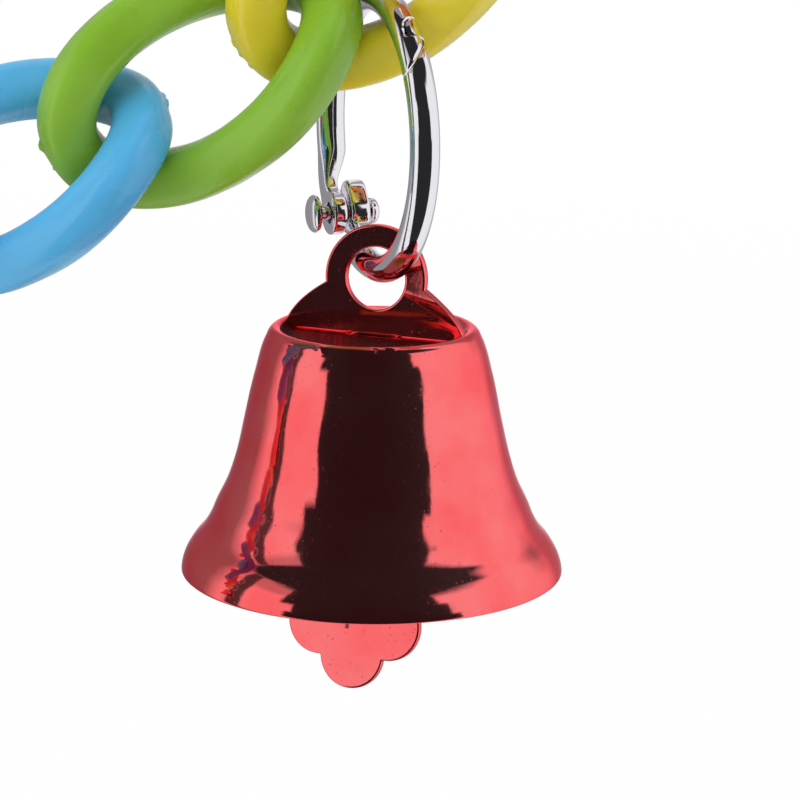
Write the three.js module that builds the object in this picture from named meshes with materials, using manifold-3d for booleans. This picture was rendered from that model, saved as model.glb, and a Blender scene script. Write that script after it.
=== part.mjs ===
// Bird bridge swing: twelve big twisted plastic links slung between two hinged end rings, with a
// red bell on a hinged ring under the second link from each end.
// Millimetres, +Z up, X along the bridge. The origin is midway between the two places where the
// cage bars carry the end rings, so everything hangs below it.
import * as THREE from "three";
import Module from "manifold-3d";
import { ParametricGeometry } from "three/addons/geometries/ParametricGeometry.js";
import { mergeVertices } from "three/addons/utils/BufferGeometryUtils.js";

const wasm = await Module();
wasm.setup();

// Links: long ovals of round bar, twisted so that the chain lies flat
const linkHalfLength = 14.2;
const linkHalfWidth = 8.0;
const linkBarRadius = 2.68;
const linkSquareness = 2.33;
const linkEndTwist = THREE.MathUtils.degToRad(-42);
const linkPlay = 1.85;
const linkStepsRound = 28;
const linkBarSides = 8;
const tangentStep = 1e-3;
const linkLean = THREE.MathUtils.degToRad(-20);
const linkLeanEase = THREE.MathUtils.degToRad(6);
const easedFromCount = 2;
const linksEachSide = 6;
const riseStep = 0.174;
const bellLinkFromMiddle = 5;
const linkColours = [
  ["red", 0xc8252b], ["purple", 0x6b3f9a], ["blue", 0x4f9bc9],
  ["green", 0x77a52c], ["yellow", 0xc9b02c], ["orange", 0xe0762a],
];

// Hinged rings: the same pressed wire ring under each bell and at each end of the bridge
const ringRadius = 13.0;
const ringWireRadius = 1.45;
const ringHingeAngle = THREE.MathUtils.degToRad(180);
const lapReach = 3.0;
const ringGap = 0.3;
const eyeRadius = 2.2;
const eyeArmWidth = 2.3;
const eyeHoleRadius = 1.0;
const thinEyeSides = [-1.6, -0.2];
const thickEyeSides = [0.2, 2.2];
const rivetShankRadius = 0.7;
const rivetHeadRadius = 1.9;
const rivetHeadHeight = 0.95;
const rivetHalfLength = 3.7;
const rivetDomePoints = 3;
const rivetSides = 12;
const endRingTurn = THREE.MathUtils.degToRad(-30);
const bellRingTurn = THREE.MathUtils.degToRad(45.5);
const bellRingFacing = THREE.MathUtils.degToRad(21);
const ringStepAngle = THREE.MathUtils.degToRad(13);
const wireSegments = 4;
const eyeSegments = 7;
const hangingGap = 0.4;
const bellRingGap = 0.3;
// Where each bell ring rests on its link's lower arm: along X, then towards the viewer
const bellRingRest = { left: [0.4, -1.0], right: [-1.2, 1.0] };

// Bell shell: pressed sheet with a shoulder, a straight waist, a step and a flared lip
const bellHeight = 24.5;
const bellWall = 0.8;
const shoulderRadius = 10.7;
const shoulderRound = 1.5;
const waistRadius = 13.8;
const waistHeight = 11.2;
const stepRadius = 15.9;
const stepHeight = 5.9;
const lipRadius = 18.9;
// How far the shoulder's and step's bends reach, as parts of the way across and down
const shoulderTightness = 0.9;
const stepBend = { across: 0.25, down: 0.45 };
const flareStart = { out: 0.6, down: 1.2 };
const flareEnd = { inside: 0.7, height: 2.5 };
const bellCurvePoints = 4;
const bellSides = 36;

// Hanger: stamped sheet that stands on the crown, with a tongue through it
const hangerSheet = 1.1;
const hangerFootHalfWidth = 9.4;
const hangerEyeRadius = 5.55;
const hangerHoleRadius = 3.1;
const hangerEyeHeight = 4.5;
const hangerFacing = THREE.MathUtils.degToRad(-22);
const hangerPlay = 0.5;
const tongueHalfWidth = 2.6;
const tongueDepth = 7.4;
const tongueHoleRadius = 1.9;
const tongueBarHeight = 1.4;
// Where the foot's curve leaves the round eye, and its control point as parts of both ends
const footCornerAngle = THREE.MathUtils.degToRad(185);
const footCurve = { out: 0.82, up: 0.73 };
const hangerSegments = 9;
const crownGap = 0.3;

// Clapper: flat trefoil on a strip whose top is curled through the tongue
const clapperSheet = 0.8;
const curlRadius = 1.5;
const curlWidth = 1.5;
const curlAngle = THREE.MathUtils.degToRad(300);
const curlSteps = 14;
const stemHalfWidth = 1.6;
const lobeRadius = 3.35;
const lobeSpread = 3.7;
const sideLobeDrop = 4.8;
const lowLobeDrop = 7.85;
const lobeSides = 20;
// The curl pinches its bar, so the trefoil stands forward and leans a little in its plane
const clapperForward = THREE.MathUtils.degToRad(14);
const clapperLean = THREE.MathUtils.degToRad(-1.5);

const plated = { roughness: 0.25, metalness: 1.0 };
const nickel = new THREE.MeshStandardMaterial({ color: 0xc9c9cc, ...plated });
const redPlate = new THREE.MeshStandardMaterial({ color: 0xc8323a, ...plated });
const mergeTolerance = 1e-4;
const linkPlastic = Object.fromEntries(linkColours.map(([name, color]) => [
  name, new THREE.MeshStandardMaterial({ color, roughness: 0.3, metalness: 0.0 }),
]));

// Booleans work on closed solids, so positions are merged before and after them
function closed(geometry) {
  const bare = geometry.clone();
  bare.deleteAttribute("normal");
  bare.deleteAttribute("uv");
  return mergeVertices(bare, mergeTolerance);
}

function solid(geometry) {
  const merged = closed(geometry);
  const vertProperties = new Float32Array(merged.attributes.position.array);
  const triVerts = new Uint32Array(merged.index.array);
  return new wasm.Manifold(new wasm.Mesh({ numProp: 3, vertProperties, triVerts }));
}

function shaped(manifold) {
  const mesh = manifold.getMesh();
  const geometry = new THREE.BufferGeometry();
  geometry.setAttribute("position", new THREE.BufferAttribute(mesh.vertProperties, 3));
  geometry.setIndex(new THREE.BufferAttribute(mesh.triVerts, 1));
  return geometry;
}

function box(low, high) {
  const size = new THREE.Vector3().subVectors(high, low);
  const geometry = new THREE.BoxGeometry(size.x, size.y, size.z);
  geometry.translate((low.x + high.x) / 2, (low.y + high.y) / 2, (low.z + high.z) / 2);
  return geometry;
}

// A flat plate standing in the XZ plane, from one Y to another
function standingPlate(outline, fromY, toY, curveSegments) {
  const depth = toY - fromY;
  const plate = new THREE.ExtrudeGeometry(outline, { depth, bevelEnabled: false, curveSegments });
  plate.rotateX(Math.PI / 2);
  plate.translate(0, toY, 0);
  return plate;
}

// Middle line of a link: a squarish oval whose width direction turns along its length
class LinkLine extends THREE.Curve {
  getPoint(t, target = new THREE.Vector3()) {
    const turn = 2 * Math.PI * t;
    const squared = (value) => Math.sign(value) * Math.abs(value) ** (2 / linkSquareness);
    const along = linkHalfLength * squared(Math.cos(turn));
    const across = linkHalfWidth * squared(Math.sin(turn));
    const twist = linkEndTwist * along / linkHalfLength;
    return target.set(along, across * Math.cos(twist), across * Math.sin(twist));
  }
}

const linkLine = new LinkLine();

// The bar's surface: a circle carried round the middle line, square to it
function linkGeometry(stepsRound, sides) {
  const flat = new THREE.Vector3(0, 0, 1);
  const surface = (u, v, target) => {
    const centre = linkLine.getPoint(u);
    const before = linkLine.getPoint(u - tangentStep);
    const ahead = linkLine.getPoint(u + tangentStep).sub(before).normalize();
    const sideways = new THREE.Vector3().crossVectors(ahead, flat).normalize();
    const upward = new THREE.Vector3().crossVectors(ahead, sideways);
    const angle = -2 * Math.PI * v;
    target.copy(centre);
    target.addScaledVector(sideways, linkBarRadius * Math.cos(angle));
    target.addScaledVector(upward, linkBarRadius * Math.sin(angle));
  };
  return closed(new ParametricGeometry(surface, stepsRound, sides));
}

class RingArc extends THREE.Curve {
  constructor(from, to) {
    super();
    this.from = from;
    this.to = to;
  }

  getPoint(t, target = new THREE.Vector3()) {
    const angle = this.from + (this.to - this.from) * t;
    return target.set(ringRadius * Math.cos(angle), 0, ringRadius * Math.sin(angle));
  }
}

function ringWire(from, to) {
  const section = new THREE.Shape().absarc(0, 0, ringWireRadius, 0, 2 * Math.PI);
  const steps = Math.ceil((to - from) / ringStepAngle);
  const extrudePath = new RingArc(from, to);
  return new THREE.ExtrudeGeometry(section, { steps, extrudePath, curveSegments: wireSegments });
}

// Flattened hinge eye, with an arm that reaches along the ring to the round wire
function hingeEye(direction, sides) {
  const reach = direction * (eyeRadius + 2 * ringGap + ringWireRadius) / ringRadius;
  const [c, s] = [Math.cos(ringHingeAngle), Math.sin(ringHingeAngle)];
  const centre = new THREE.Vector2(ringRadius * c, ringRadius * s);
  const outline = new THREE.Shape();
  const start = ringHingeAngle + (direction > 0 ? Math.PI : 0);
  outline.absarc(centre.x, centre.y, eyeRadius, start, start + Math.PI);
  for (const side of [direction, -direction]) {
    const radius = ringRadius + side * eyeArmWidth / 2;
    const angle = ringHingeAngle + reach;
    outline.lineTo(radius * Math.cos(angle), radius * Math.sin(angle));
  }
  outline.holes.push(new THREE.Path().absarc(centre.x, centre.y, eyeHoleRadius, 0, 2 * Math.PI));
  return standingPlate(outline, sides[0], sides[1], eyeSegments);
}

// The wire stops short of the other half's eye, and its snap end is halved to lap the other
function thinEyedHalf() {
  const hingeStop = (eyeRadius + 2 * ringGap) / ringRadius;
  const lapAngle = Math.asin((lapReach - ringGap / 2) / ringRadius);
  const wire = solid(ringWire(-lapAngle, ringHingeAngle - hingeStop));
  const low = new THREE.Vector3(ringRadius / 2, -ringGap / 2, -ringRadius / 2);
  const high = new THREE.Vector3(ringRadius * 1.5, eyeRadius, lapReach + ringGap / 2);
  const lap = solid(box(low, high));
  return shaped(wire.subtract(lap).add(solid(hingeEye(-1, thinEyeSides))));
}

function thickEyedHalf() {
  const hingeStop = (eyeRadius + 2 * ringGap) / ringRadius;
  const lapAngle = Math.asin((lapReach - ringGap / 2) / ringRadius);
  const wire = solid(ringWire(ringHingeAngle + hingeStop, 2 * Math.PI + lapAngle));
  const low = new THREE.Vector3(ringRadius / 2, -eyeRadius, -lapReach - ringGap / 2);
  const high = new THREE.Vector3(ringRadius * 1.5, ringGap / 2, ringRadius / 2);
  const lap = solid(box(low, high));
  return shaped(wire.subtract(lap).add(solid(hingeEye(1, thickEyeSides))));
}

function rivetGeometry() {
  const profile = new THREE.Path();
  profile.moveTo(0, -rivetHalfLength);
  profile.quadraticCurveTo(rivetHeadRadius, -rivetHalfLength,
    rivetHeadRadius, -rivetHalfLength + rivetHeadHeight);
  profile.lineTo(rivetShankRadius, -rivetHalfLength + rivetHeadHeight);
  profile.lineTo(rivetShankRadius, rivetHalfLength - rivetHeadHeight);
  profile.lineTo(rivetHeadRadius, rivetHalfLength - rivetHeadHeight);
  profile.quadraticCurveTo(rivetHeadRadius, rivetHalfLength, 0, rivetHalfLength);
  return new THREE.LatheGeometry(profile.getPoints(rivetDomePoints), rivetSides);
}

// The outer wall from the crown's hole to the lip; the inner wall is set in by the sheet
function bellGeometry(crownHoleRadius) {
  const wall = new THREE.Path();
  wall.moveTo(crownHoleRadius, bellHeight);
  wall.lineTo(shoulderRadius - shoulderRound, bellHeight);
  wall.quadraticCurveTo(shoulderRadius - shoulderRound * (1 - shoulderTightness), bellHeight,
    shoulderRadius, bellHeight - shoulderRound);
  wall.lineTo(waistRadius, waistHeight);
  wall.quadraticCurveTo(waistRadius + (stepRadius - waistRadius) * stepBend.across,
    waistHeight - (waistHeight - stepHeight) * stepBend.down, stepRadius, stepHeight);
  wall.bezierCurveTo(stepRadius + flareStart.out, stepHeight - flareStart.down,
    lipRadius - flareEnd.inside, flareEnd.height, lipRadius, bellWall / 2);
  const outer = wall.getPoints(bellCurvePoints);
  const inward = outer.map((point, index) => {
    const before = outer[Math.max(index - 1, 0)];
    const after = outer[Math.min(index + 1, outer.length - 1)];
    const along = new THREE.Vector2().subVectors(after, before).normalize();
    return new THREE.Vector2(point.x + along.y * bellWall, point.y - along.x * bellWall);
  });
  const first = inward[0];
  first.x = crownHoleRadius;
  const profile = [...outer, ...inward.reverse(), outer[0].clone()];
  const shell = new THREE.LatheGeometry(profile.reverse(), bellSides);
  shell.rotateX(Math.PI / 2);
  return closed(shell);
}

// Heights here are over the crown
function hangerGeometry() {
  const outline = new THREE.Shape();
  const corner = new THREE.Vector2(hangerEyeRadius * Math.cos(footCornerAngle),
    hangerEyeHeight + hangerEyeRadius * Math.sin(footCornerAngle));
  const bend = new THREE.Vector2(hangerFootHalfWidth * footCurve.out, corner.y * footCurve.up);
  outline.moveTo(-tongueHalfWidth, 0);
  outline.lineTo(-hangerFootHalfWidth, 0);
  outline.quadraticCurveTo(-bend.x, bend.y, corner.x, corner.y);
  outline.absarc(0, hangerEyeHeight, hangerEyeRadius, footCornerAngle,
    Math.PI - footCornerAngle, true);
  outline.quadraticCurveTo(bend.x, bend.y, hangerFootHalfWidth, 0);
  outline.lineTo(tongueHalfWidth, 0);
  outline.lineTo(tongueHalfWidth, -tongueDepth);
  outline.lineTo(-tongueHalfWidth, -tongueDepth);
  const tongueHoleHeight = tongueBarHeight + tongueHoleRadius - tongueDepth;
  const eye = new THREE.Path().absarc(0, hangerEyeHeight, hangerHoleRadius, 0, 2 * Math.PI);
  const hole = new THREE.Path().absarc(0, tongueHoleHeight, tongueHoleRadius, 0, 2 * Math.PI);
  outline.holes.push(eye, hole);
  return standingPlate(outline, -hangerSheet / 2, hangerSheet / 2, hangerSegments);
}

class CurlArc extends THREE.Curve {
  getPoint(t, target = new THREE.Vector3()) {
    const angle = t * curlAngle - Math.PI / 2;
    return target.set(0, curlRadius * Math.cos(angle), curlRadius * Math.sin(angle));
  }
}

// The origin is the middle of the curl, which turns round the tongue's lower bar
function clapperGeometry(curlOverLip) {
  const sheet = clapperSheet / 2;
  const strip = new THREE.Shape();
  strip.moveTo(-curlWidth / 2, -sheet);
  strip.lineTo(curlWidth / 2, -sheet);
  strip.lineTo(curlWidth / 2, sheet);
  strip.lineTo(-curlWidth / 2, sheet);
  strip.closePath();
  const curl = solid(new THREE.ExtrudeGeometry(strip, { steps: curlSteps, extrudePath: new CurlArc() }));
  const stem = box(new THREE.Vector3(-stemHalfWidth, -sheet, -curlOverLip - sideLobeDrop),
    new THREE.Vector3(stemHalfWidth, sheet, -curlRadius));
  let whole = curl.add(solid(stem));
  const lobes = [[-lobeSpread, -sideLobeDrop], [lobeSpread, -sideLobeDrop], [0, -lowLobeDrop]];
  for (const [x, drop] of lobes) {
    const disc = new THREE.CylinderGeometry(lobeRadius, lobeRadius, clapperSheet, lobeSides);
    disc.translate(x, 0, drop - curlOverLip);
    whole = whole.add(solid(disc));
  }
  return shaped(whole);
}

function named(name, geometry, material) {
  const mesh = new THREE.Mesh(geometry, material);
  mesh.name = name;
  return mesh;
}

const swing = new THREE.Group();
const linkShape = linkGeometry(linkStepsRound, linkBarSides);
const thinEyed = thinEyedHalf();
const thickEyed = thickEyedHalf();
const rivet = rivetGeometry();

// A link's slope rises with its distance from the middle; all lean the same way
const linkPitch = 2 * (linkHalfLength - linkBarRadius) - linkPlay;
const linkPlaces = [];
let place = new THREE.Vector3();
for (let count = 0; count < linksEachSide; count += 1) {
  const slope = Math.atan(riseStep * (count + 0.5));
  const along = new THREE.Vector3(Math.cos(slope), 0, Math.sin(slope));
  const centre = place.clone().addScaledVector(along, linkPitch / 2);
  linkPlaces.push({ count, slope, centre });
  place = place.clone().addScaledVector(along, linkPitch);
}

// The last link's end hooks over the bottom of the end ring
const last = linkPlaces[linksEachSide - 1];
const lastReach = linkHalfLength - linkBarRadius - ringWireRadius - hangingGap;
const ringBottom = last.centre.clone()
  .addScaledVector(new THREE.Vector3(Math.cos(last.slope), 0, Math.sin(last.slope)), lastReach);
const chainDrop = ringBottom.z + 2 * ringRadius - ringWireRadius;
const endRingX = ringBottom.x;

function linkFrame(side, { count, slope, centre }) {
  const eased = side > 0 ? Math.max(count - easedFromCount, 0) : 0;
  const lean = linkLean + linkLeanEase * eased;
  const along = new THREE.Vector3(Math.cos(slope), 0, side * Math.sin(slope));
  const upright = new THREE.Vector3(-along.z, 0, along.x);
  const front = new THREE.Vector3().crossVectors(along, upright);
  const across = upright.multiplyScalar(Math.cos(lean)).addScaledVector(front, Math.sin(lean));
  const matrix = new THREE.Matrix4().makeBasis(along, across,
    new THREE.Vector3().crossVectors(along, across));
  return matrix.setPosition(side * centre.x, 0, centre.z - chainDrop);
}

const restSamples = 360;
const restStep = 0.02;
const bellRingForward = new THREE.Vector3(Math.sin(bellRingFacing), -Math.cos(bellRingFacing), 0);

// Middle of a bell ring that rests in a link: lifted until its wire just clears the lower arm
function restingMiddle(frame, [slide, forward]) {
  const line = Array.from({ length: restSamples },
    (_, index) => linkLine.getPoint(index / restSamples).applyMatrix4(frame));
  const middle = new THREE.Vector3().setFromMatrixPosition(frame);
  const lowArm = line.filter((point) => point.z < middle.z);
  const offset = (point) => Math.abs(point.x - middle.x - slide);
  const arm = lowArm.reduce((best, point) => (offset(point) < offset(best) ? point : best));
  const centre = arm.clone().addScaledVector(bellRingForward, forward);
  centre.z -= ringRadius - linkBarRadius;
  const needed = linkBarRadius + ringWireRadius + bellRingGap;
  const tooClose = () => line.some((point) => {
    const away = point.clone().sub(centre);
    const inPlane = Math.hypot(away.dot(bellRingForward), away.z);
    const acrossPlane = Math.hypot(away.x, away.y) ** 2 - away.dot(bellRingForward) ** 2;
    return Math.hypot(inPlane - ringRadius, Math.sqrt(Math.max(acrossPlane, 0))) < needed;
  });
  while (tooClose()) {
    centre.z += restStep;
  }
  return centre;
}

function hingedRing(prefix, halfNames, flipped, turn) {
  const ring = new THREE.Group();
  ring.rotation.set(flipped ? Math.PI : 0, 0, 0);
  const turned = new THREE.Group();
  turned.rotation.y = -turn;
  turned.add(ring);
  const pin = named(`${prefix}_rivet`, rivet, nickel);
  pin.position.set(ringRadius * Math.cos(ringHingeAngle), 0, ringRadius * Math.sin(ringHingeAngle));
  ring.add(named(`${prefix}_${halfNames[0]}`, thinEyed, nickel));
  ring.add(named(`${prefix}_${halfNames[1]}`, thickEyed, nickel), pin);
  return turned;
}

const curlDepth = tongueDepth - tongueBarHeight / 2;
const curlOverLip = bellHeight + crownGap - curlDepth;
const crownHoleRadius = Math.hypot(tongueHalfWidth, hangerSheet / 2) + crownGap;
const bellShape = bellGeometry(crownHoleRadius);
const hangerShape = hangerGeometry();
const clapperShape = clapperGeometry(curlOverLip);

// The wire lies high in the hanger's hole, so the bell hangs from it
const hangerDrop = hangerEyeHeight + hangerHoleRadius - ringWireRadius - hangerPlay;

function bellSet(prefix, ringMiddle) {
  const group = new THREE.Group();
  group.position.copy(ringMiddle);
  const facing = new THREE.Group();
  facing.rotation.z = bellRingFacing - Math.PI / 2;
  facing.add(hingedRing(`${prefix}_bell_ring`, ["upper_half", "lower_half"], false, bellRingTurn));
  const bell = new THREE.Group();
  bell.position.z = -ringRadius - hangerDrop - crownGap - bellHeight;
  const hangerPart = named(`${prefix}_bell_hanger`, hangerShape, redPlate);
  hangerPart.position.z = bellHeight + crownGap;
  const clapper = named(`${prefix}_bell_clapper`, clapperShape, redPlate);
  clapper.position.z = curlOverLip;
  clapper.rotation.set(-clapperForward, clapperLean, 0);
  bell.rotation.z = hangerFacing;
  bell.add(named(`${prefix}_bell_shell`, bellShape, redPlate), hangerPart, clapper);
  group.add(facing, bell);
  return group;
}

const sides = [["left", -1], ["right", 1]];
for (const [sideName, side] of sides) {
  for (const linkPlace of linkPlaces) {
    const outward = linkPlace.count + 1;
    const number = side < 0 ? linksEachSide + 1 - outward : linksEachSide + outward;
    const colour = linkColours[(number - 1) % linkColours.length][0];
    const link = named(`link_${String(number).padStart(2, "0")}`, linkShape, linkPlastic[colour]);
    const frame = linkFrame(side, linkPlace);
    link.applyMatrix4(frame);
    swing.add(link);
    if (outward === bellLinkFromMiddle) {
      swing.add(bellSet(sideName, restingMiddle(frame, bellRingRest[sideName])));
    }
  }
  const endRing = new THREE.Group();
  endRing.position.set(side * endRingX, 0, ringWireRadius - ringRadius);
  endRing.rotation.z = -Math.PI / 2;
  endRing.add(hingedRing(`${sideName}_end_ring`, ["frame_half", "gate_half"], true, endRingTurn));
  swing.add(endRing);
}

export default swing;
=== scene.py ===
"""Bird bridge swing: twisted plastic links, hinged nickel rings and two mirror-red bells.

Lengths are in millimetres in the classes and become metres where a mesh is made. The frame is
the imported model's: +X along the bridge, +Y away from the viewer, +Z up.
"""

from __future__ import annotations

import logging
import math
from dataclasses import dataclass
from enum import Enum

import bpy
import numpy as np
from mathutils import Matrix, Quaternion, Vector
from numpy.typing import NDArray

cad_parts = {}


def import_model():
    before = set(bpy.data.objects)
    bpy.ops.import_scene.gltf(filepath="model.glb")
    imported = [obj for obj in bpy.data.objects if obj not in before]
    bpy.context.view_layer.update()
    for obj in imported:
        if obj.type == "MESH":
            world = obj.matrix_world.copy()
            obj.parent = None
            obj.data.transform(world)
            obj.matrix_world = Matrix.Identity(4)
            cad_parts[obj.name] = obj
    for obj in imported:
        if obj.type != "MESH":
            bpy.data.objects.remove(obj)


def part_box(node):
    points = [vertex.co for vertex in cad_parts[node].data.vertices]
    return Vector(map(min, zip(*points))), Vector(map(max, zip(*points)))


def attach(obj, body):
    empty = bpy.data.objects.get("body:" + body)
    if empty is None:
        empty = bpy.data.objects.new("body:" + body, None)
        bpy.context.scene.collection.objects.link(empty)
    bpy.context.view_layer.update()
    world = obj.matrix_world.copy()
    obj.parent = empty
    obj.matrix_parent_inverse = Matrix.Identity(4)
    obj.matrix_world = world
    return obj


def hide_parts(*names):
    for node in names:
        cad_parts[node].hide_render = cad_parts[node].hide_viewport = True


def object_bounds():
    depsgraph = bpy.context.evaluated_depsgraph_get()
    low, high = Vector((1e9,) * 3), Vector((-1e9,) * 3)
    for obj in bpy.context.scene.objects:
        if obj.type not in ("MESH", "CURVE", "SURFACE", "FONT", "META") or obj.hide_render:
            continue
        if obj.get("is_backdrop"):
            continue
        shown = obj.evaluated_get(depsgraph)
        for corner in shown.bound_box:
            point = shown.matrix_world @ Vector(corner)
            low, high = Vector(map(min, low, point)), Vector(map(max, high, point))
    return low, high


LOG = logging.getLogger("bridge_swing")
Array = NDArray[np.float64]
Socket = bpy.types.NodeSocket
METRES = 0.001
X, Y, Z = range(3)
SHARP_ANGLE = math.radians(38)
WHITE = (1, 1, 1, 1)
DARK_CLOTH = (0.024, 0.024, 0.026, 1)
# How far inside a plate's rounded edge a row of points keeps its face flat
FLAT_ROW = 0.05


class Side(Enum):
    """The two ends of the bridge, with the sign of X that each lies on."""

    LEFT = -1
    RIGHT = 1

    @property
    def word(self) -> str:
        """The side's name as the nodes spell it."""
        return self.name.lower()


class LinkColour(Enum):
    """The moulding colours in the order in which they repeat along the chain, as sRGB."""

    RED = (212, 40, 44)
    PURPLE = (114, 68, 164)
    BLUE = (84, 178, 228)
    GREEN = (134, 183, 48)
    YELLOW = (224, 206, 48)
    ORANGE = (236, 126, 40)

    @property
    def slot(self) -> str:
        """The record's material slot."""
        return f"{self.name.lower()}_plastic"


def linear(colour: tuple[int, int, int]) -> tuple[float, float, float, float]:
    """Turns an 8-bit sRGB colour into the linear colour that a shader socket takes."""
    scaled = [value / 255 for value in colour]
    straight = [v / 12.92 if v <= 0.04045 else ((v + 0.055) / 1.055) ** 2.4 for v in scaled]
    return (*straight, 1.0)


def turned(degrees: float, first: int, second: int) -> Array:
    """A 4 by 4 turn that carries one axis towards another.

    Args:
        degrees: How far it turns.
        first: The axis that leaves.
        second: The axis that it moves towards.

    Returns:
        The place.
    """
    c, s = math.cos(math.radians(degrees)), math.sin(math.radians(degrees))
    turn = np.eye(4)
    turn[first, first] = turn[second, second] = c
    turn[second, first], turn[first, second] = s, -s
    return turn


def shift(x: float, y: float, z: float) -> Array:
    """A 4 by 4 move."""
    move = np.eye(4)
    move[:3, 3] = (x, y, z)
    return move


def placed(points: Array, place: Array) -> Array:
    """Carries points, shape (..., 3), by a 4 by 4 place."""
    return points @ place[:3, :3].T + place[:3, 3]


def smooth_step(value: Array, start: float, end: float) -> Array:
    """Rises from 0 at start to 1 at end with level ends: 3t^2 - 2t^3."""
    t = np.clip((value - start) / (end - start), 0, 1)
    return t * t * (3 - 2 * t)


def squared(value: Array, exponent: float | Array) -> Array:
    """Superellipse helper: keeps the sign and raises the size to 2 / exponent."""
    return np.sign(value) * np.abs(value) ** (2 / exponent)


def full_turn(count: int) -> Array:
    """Evenly spaced angles round a full turn, from 0."""
    return np.linspace(0, 2 * np.pi, count, endpoint=False)


def polar(angle: Array) -> Array:
    """Cosine and sine of angles, joined along a new last axis."""
    return np.stack([np.cos(angle), np.sin(angle)], -1)


def unit(vectors: Array) -> Array:
    """Vectors scaled to length 1."""
    return vectors / np.linalg.norm(vectors, axis=-1, keepdims=True)


class Skin:
    """Closed shells gathered into one mesh, each turned so that its faces point outwards."""

    def __init__(self) -> None:
        """Starts with no shells."""
        self._points: list[Array] = []
        self._faces: list[list[int]] = []
        self._count = 0

    def _add(self, points: Array, quads: Array, triangles: Array) -> None:
        """Adds one shell and flips it if its signed volume is negative.

        Args:
            points: Vertices, shape (n, 3).
            quads: Vertex numbers, shape (m, 4).
            triangles: Vertex numbers, shape (k, 3).
        """
        halves = np.concatenate([quads[:, [0, 1, 2]], quads[:, [0, 2, 3]], triangles])
        a, b, c = (points[halves[:, i]] for i in range(3))
        if np.einsum("ij,ij->", a, np.cross(b, c)) < 0:
            quads, triangles = quads[:, ::-1], triangles[:, ::-1]
        self._faces += (quads + self._count).tolist() + (triangles + self._count).tolist()
        self._points.append(points)
        self._count += len(points)

    def add_loop(self, grid: Array) -> Skin:
        """Adds a grid of points that closes both ways.

        Args:
            grid: Points, shape (rows, columns, 3).

        Returns:
            This skin.
        """
        rows, columns = grid.shape[:2]
        at = np.arange(rows * columns).reshape(rows, columns)
        ahead = np.roll(at, -1, axis=0)
        quads = np.stack([at, ahead, np.roll(ahead, -1, axis=1), np.roll(at, -1, axis=1)], -1)
        self._add(grid.reshape(-1, 3), quads.reshape(-1, 4), np.zeros((0, 3), int))
        return self

    def add_tube(self, grid: Array) -> Skin:
        """Adds a grid whose rows close, with a fan over its first and last row.

        Args:
            grid: Points, shape (rows, columns, 3).

        Returns:
            This skin.
        """
        rows, columns = grid.shape[:2]
        at = np.arange(rows * columns).reshape(rows, columns)
        turned = np.roll(at, -1, axis=1)
        quads = np.stack([at[:-1], at[1:], turned[1:], turned[:-1]], -1).reshape(-1, 4)
        first, last = rows * columns, rows * columns + 1
        start = np.stack([np.full(columns, first), at[0], turned[0]], -1)
        end = np.stack([np.full(columns, last), turned[-1], at[-1]], -1)
        points = np.concatenate([grid.reshape(-1, 3), grid[[0, -1]].mean(axis=1)])
        self._add(points, quads, np.concatenate([start, end]))
        return self

    def piece(self, name: str, place: Array, material: bpy.types.Material) -> bpy.types.Object:
        """Makes the object, with its place in its mesh.

        Args:
            name: The piece's name.
            place: Where the shells' millimetres lie in the object's frame.
            material: Its finish.

        Returns:
            The new object, linked to the scene.
        """
        mesh = bpy.data.meshes.new(name)
        points = placed(np.concatenate(self._points), place) * METRES
        mesh.from_pydata(points.tolist(), [], self._faces)
        mesh.validate()
        mesh.shade_smooth()
        mesh.set_sharp_from_angle(angle=SHARP_ANGLE)
        mesh.materials.append(material)
        made = bpy.data.objects.new(name, mesh)
        bpy.context.scene.collection.objects.link(made)
        return made


def swept(
    centres: Array, wide: Array, thick: Array, half_width: Array, half_thickness: Array,
    exponent: float, columns: int,
) -> Array:
    """Carries a superellipse along a path.

    Each section is centre + wide * a * cos^(2/n) + thick * b * sin^(2/n) over a full turn.

    Args:
        centres: The path, shape (rows, 3).
        wide: Unit directions of the section's width, shape (rows, 3) or (3,).
        thick: Unit directions of its thickness, shape (rows, 3) or (3,).
        half_width: a along the path, shape (rows,) or a number.
        half_thickness: b along the path, shape (rows,) or a number.
        exponent: n, 2 for an ellipse and more for a squarer section.
        columns: Points round the section.

    Returns:
        The grid, shape (rows, columns, 3).
    """
    angle = full_turn(columns)
    rows = len(centres)
    a = np.broadcast_to(half_width, (rows,))[:, None] * squared(np.cos(angle), exponent)
    b = np.broadcast_to(half_thickness, (rows,))[:, None] * squared(np.sin(angle), exponent)
    wide = np.broadcast_to(wide, (rows, 3))[:, None]
    thick = np.broadcast_to(thick, (rows, 3))[:, None]
    return centres[:, None] + wide * a[..., None] + thick * b[..., None]


def rounded_edge(half: float, rounding: float, steps: int) -> tuple[Array, Array]:
    """A plate's edge from its flat face outwards: one row on the flat, then a quarter circle.

    Args:
        half: Half the plate's thickness.
        rounding: The quarter circle's radius.
        steps: Points in the quarter circle.

    Returns:
        How far each row lies inside the outline, and its height over the middle plane.
    """
    a = np.linspace(0, np.pi / 2, steps)
    inside = np.concatenate([[rounding + FLAT_ROW], rounding * (1 - np.sin(a))])
    return inside, np.concatenate([[half], half - rounding + rounding * np.cos(a)])


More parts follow.
